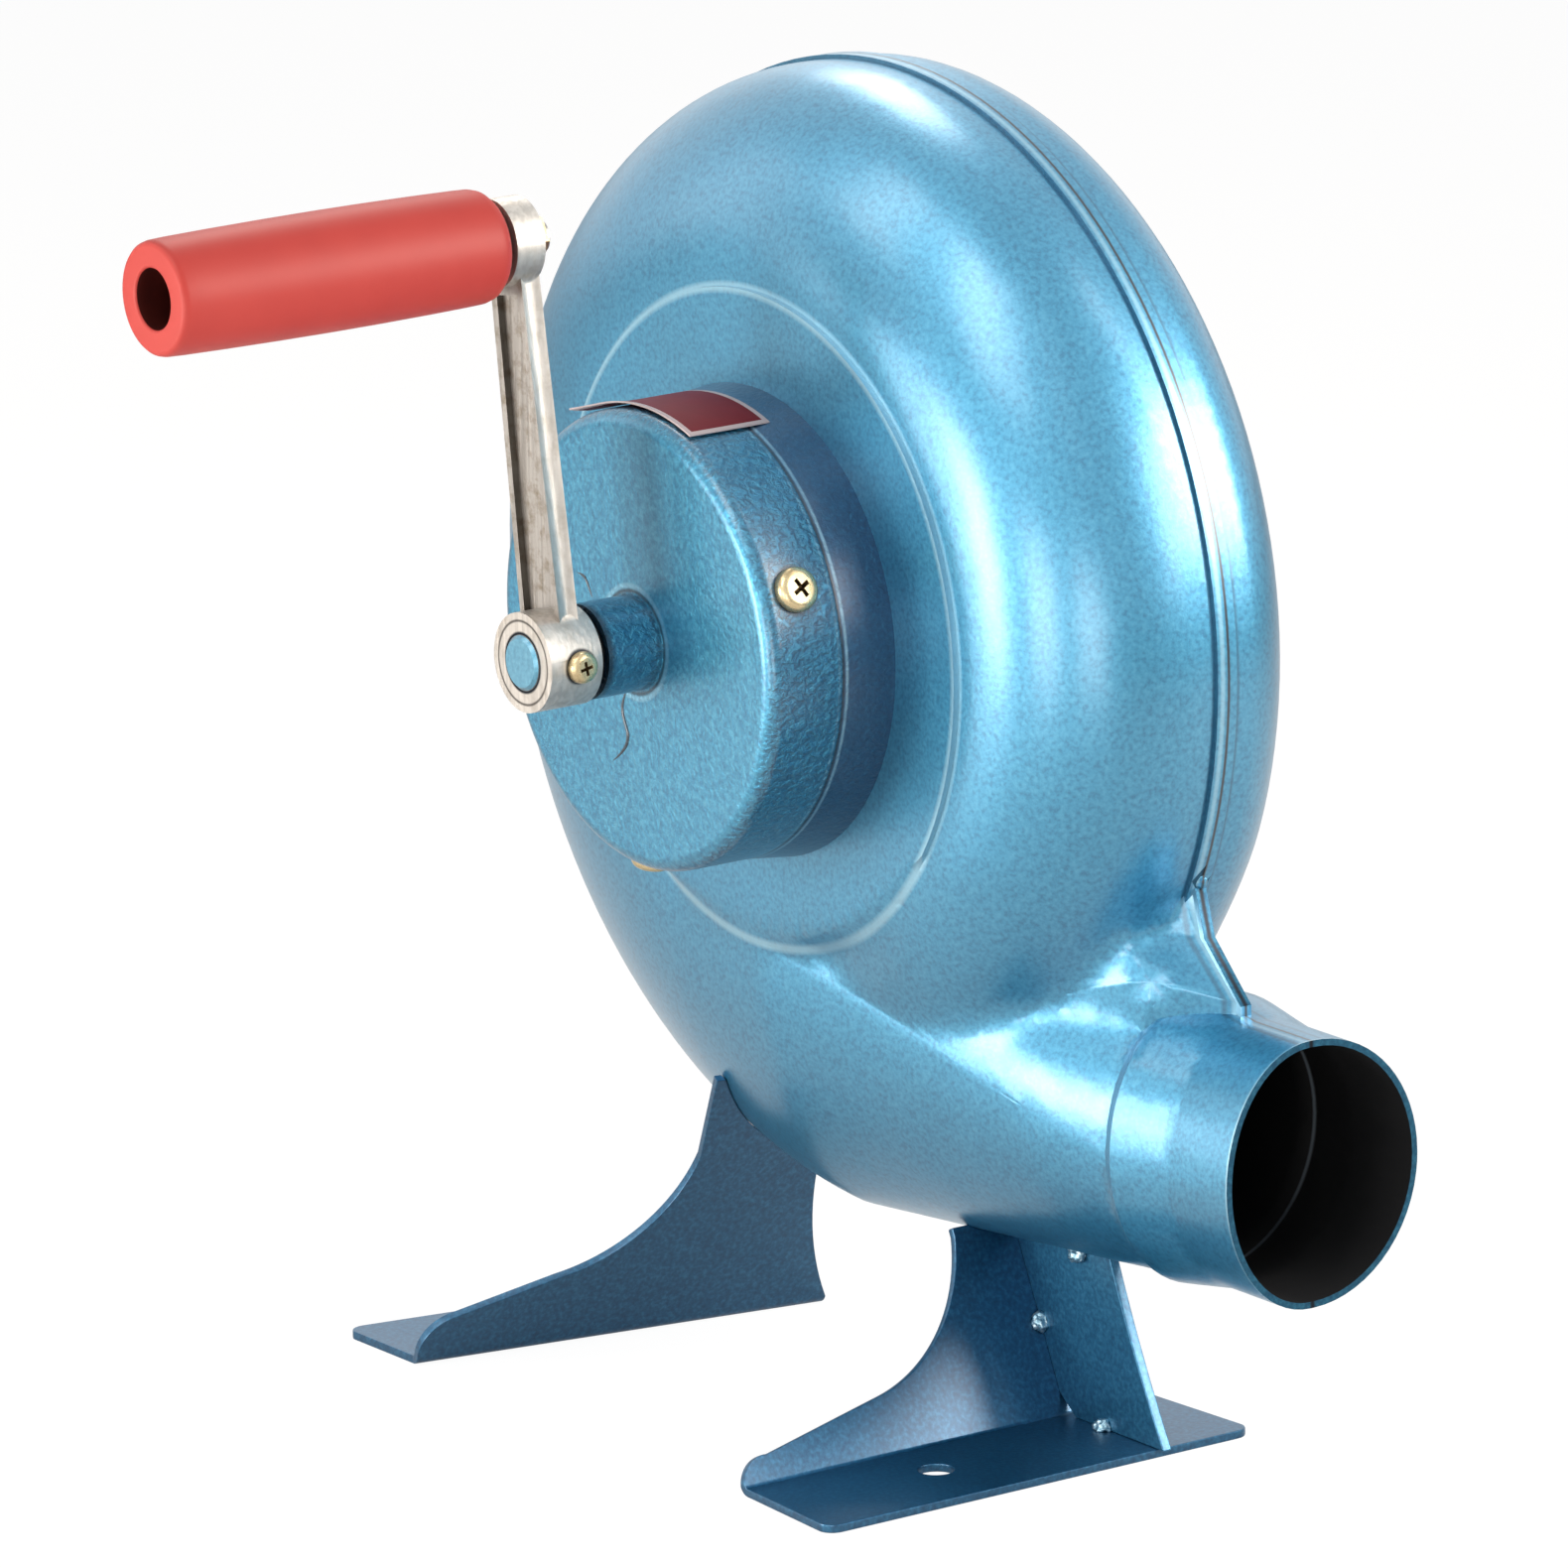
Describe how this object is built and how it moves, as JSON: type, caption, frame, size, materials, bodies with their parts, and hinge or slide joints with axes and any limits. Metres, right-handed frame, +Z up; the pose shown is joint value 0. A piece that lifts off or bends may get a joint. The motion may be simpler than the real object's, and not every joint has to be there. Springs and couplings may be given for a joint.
{
  "type": "hand crank forge blower",
  "caption": "Hand cranked centrifugal blower: blue sheet-steel volute with a round outlet spigot, cast gear case with crank and red grip, on bent sheet feet.",
  "frame": {"origin": "on the base plane, midway between the two foot holes", "axes": "+Z up, +X the way the air leaves the outlet, -Y towards the crank and +Y towards the air inlet"},
  "size_m": [0.2217, 0.1818, 0.2442],
  "materials": {
    "housing_paint": "hammertone enamel, semi-gloss",
    "case_paint": "hammertone enamel over rough casting",
    "foot_paint": "hammertone enamel, semi-gloss",
    "crank_metal": "grey cast, lightly stained",
    "plated_screw": "yellow zinc plated",
    "bright_steel": "ground",
    "dark_steel": "oiled, dark",
    "bush_bronze": "sintered bronze",
    "fan_metal": "mill finish",
    "grip_red": "satin red"
  },
  "bodies": {
    "housing": {"front_shell": "housing_paint", "rear_shell": "housing_paint", "gear_case_base": "case_paint", "gear_cover": "case_paint", "cover_screws": "plated_screw", "case_screws": "plated_screw", "crank_bush": "bush_bronze", "layshaft_front_bush": "bush_bronze", "layshaft_rear_bush": "bush_bronze", "bearing_outer_rings": "bright_steel", "bearing_shields": "bright_steel", "right_foot": "foot_paint", "left_foot": "foot_paint", "foot_gusset": "foot_paint", "foot_welds": "foot_paint"},
    "crank": {"crank_shaft": "bright_steel", "crank_gear": "dark_steel", "crank_thrust_washer": "dark_steel", "crank_washer": "dark_steel", "crank_arm": "crank_metal", "crank_set_screw": "plated_screw", "handle_pin": "bright_steel", "handle_washer": "dark_steel", "handle_nut": "plated_screw"},
    "layshaft": {"layshaft": "bright_steel", "layshaft_gear": "dark_steel"},
    "fan": {"fan_shaft": "bright_steel", "bearing_inner_rings": "bright_steel", "impeller_disc": "fan_metal", "impeller_hub": "fan_metal", "impeller_blades": "fan_metal", "impeller_nut": "plated_screw"},
    "grip": {"handle_grip": "grip_red"}
  },
  "joints": [
    {"name": "crank_spin", "type": "hinge", "parent": "housing", "child": "crank", "pos_m": [0.002, 0, 0.1465], "axis": [0, 1, 0], "continuous": true},
    {"name": "layshaft_spin", "type": "hinge", "parent": "housing", "child": "layshaft", "pos_m": [0.01776, 0, 0.13419], "axis": [0, 1, 0], "continuous": true},
    {"name": "fan_spin", "type": "hinge", "parent": "housing", "child": "fan", "pos_m": [0.002, 0, 0.1465], "axis": [0, 1, 0], "continuous": true},
    {"name": "grip_spin", "type": "hinge", "parent": "crank", "child": "grip", "pos_m": [-0.00867, 0, 0.22054], "axis": [0, 1, 0], "continuous": true}
  ],
  "couplings": [
    {"joint": "layshaft_spin", "follows": "crank_spin", "ratio": -4},
    {"joint": "fan_spin", "follows": "crank_spin", "ratio": 16}
  ]
}
